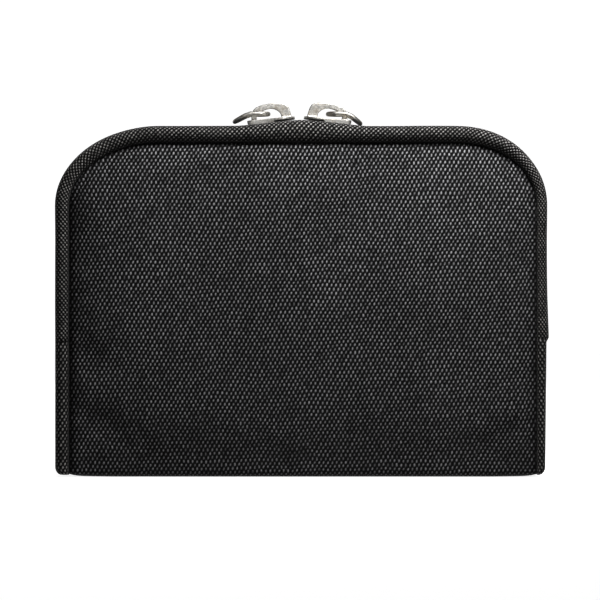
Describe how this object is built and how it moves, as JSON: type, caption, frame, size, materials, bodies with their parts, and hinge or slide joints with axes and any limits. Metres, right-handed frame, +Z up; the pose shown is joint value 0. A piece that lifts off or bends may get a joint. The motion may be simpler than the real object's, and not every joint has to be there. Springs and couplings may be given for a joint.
{
  "type": "passport wallet",
  "caption": "Zip-around fabric passport wallet on a folded spine, with padded covers, edge bands, head-to-head zip sliders, loop pulls, side gussets and inner pockets.",
  "frame": {"origin": "centre of the spine's underside, on the surface that the wallet stands on", "axes": "+X across the wallet to the right, +Y from the front cover to the back cover, +Z up from the spine to the zip"},
  "size_m": [0.14, 0.026, 0.1069],
  "materials": {
    "outer_fabric": "black plain-weave nylon, matte with a faint sheen",
    "band_fabric": "black woven nylon strip, slightly warmer",
    "lining_fabric": "dark grey fine lining",
    "pocket_fabric": "dark grey pocket cloth",
    "binding": "black ribbed binding tape",
    "zip_tape": "black herringbone zip tape",
    "zip_coil": "black nylon coil, satin",
    "foam": "grey open-cell foam sheet",
    "board": "thin stiffener board",
    "slider_metal": "cast nickel plate, darker in its recesses"
  },
  "bodies": {
    "back_half": {"back_panel": "outer_fabric", "back_foam": "foam", "back_board": "board", "back_lining": "lining_fabric", "back_edge_band": "band_fabric", "back_zip_tape": "zip_tape", "back_zip_coil": "zip_coil", "back_seam_binding": "binding", "back_side_strip_left": "band_fabric", "back_zip_tab_left": "binding", "back_side_strip_right": "band_fabric", "back_zip_tab_right": "binding", "spine_panel": "outer_fabric", "spine_lining": "lining_fabric", "gusset_left": "lining_fabric", "gusset_right": "lining_fabric", "document_pocket": "pocket_fabric", "document_pocket_binding": "binding", "passport_pocket": "pocket_fabric", "passport_pocket_binding": "binding"},
    "front_half": {"front_panel": "outer_fabric", "front_foam": "foam", "front_board": "board", "front_lining": "lining_fabric", "front_edge_band": "band_fabric", "front_zip_tape": "zip_tape", "front_zip_coil": "zip_coil", "front_seam_binding": "binding", "front_side_strip_left": "band_fabric", "front_zip_tab_left": "binding", "front_side_strip_right": "band_fabric", "front_zip_tab_right": "binding", "note_pocket": "pocket_fabric", "note_pocket_binding": "binding", "card_slot_1": "pocket_fabric", "card_slot_binding_1": "binding", "card_slot_2": "pocket_fabric", "card_slot_binding_2": "binding", "card_slot_3": "pocket_fabric", "card_slot_binding_3": "binding"},
    "left_slider": {"slider_left": "slider_metal"},
    "right_slider": {"slider_right": "slider_metal"},
    "left_pull": {"pull_left": "slider_metal"},
    "right_pull": {"pull_right": "slider_metal"}
  },
  "joints": [
    {"name": "cover_open", "type": "hinge", "parent": "back_half", "child": "front_half", "pos_m": [0, -0.0115, 0.0004], "axis": [1, 0, 0], "range_deg": [0, 60], "deforming": ["gusset_left", "gusset_right", "back_zip_tape", "front_zip_tape", "back_zip_coil", "front_zip_coil"]},
    {"name": "left_slide", "type": "slide", "parent": "back_half", "child": "left_slider", "axis": [-0.999, 0, -0.0436], "range_m": [0, 0.027], "deforming": ["back_zip_tape", "front_zip_tape", "back_zip_coil", "front_zip_coil"]},
    {"name": "right_slide", "type": "slide", "parent": "back_half", "child": "right_slider", "axis": [0.999, 0, -0.0436], "range_m": [0, 0.027], "deforming": ["back_zip_tape", "front_zip_tape", "back_zip_coil", "front_zip_coil"]},
    {"name": "left_pull_swing", "type": "hinge", "parent": "left_slider", "child": "left_pull", "pos_m": [-0.0094, 0, 0.1037], "axis": [0, 1, 0], "range_deg": [0, 150]},
    {"name": "right_pull_swing", "type": "hinge", "parent": "right_slider", "child": "right_pull", "pos_m": [0.0077, 0, 0.1037], "axis": [0, -1, 0], "range_deg": [0, 150]}
  ]
}
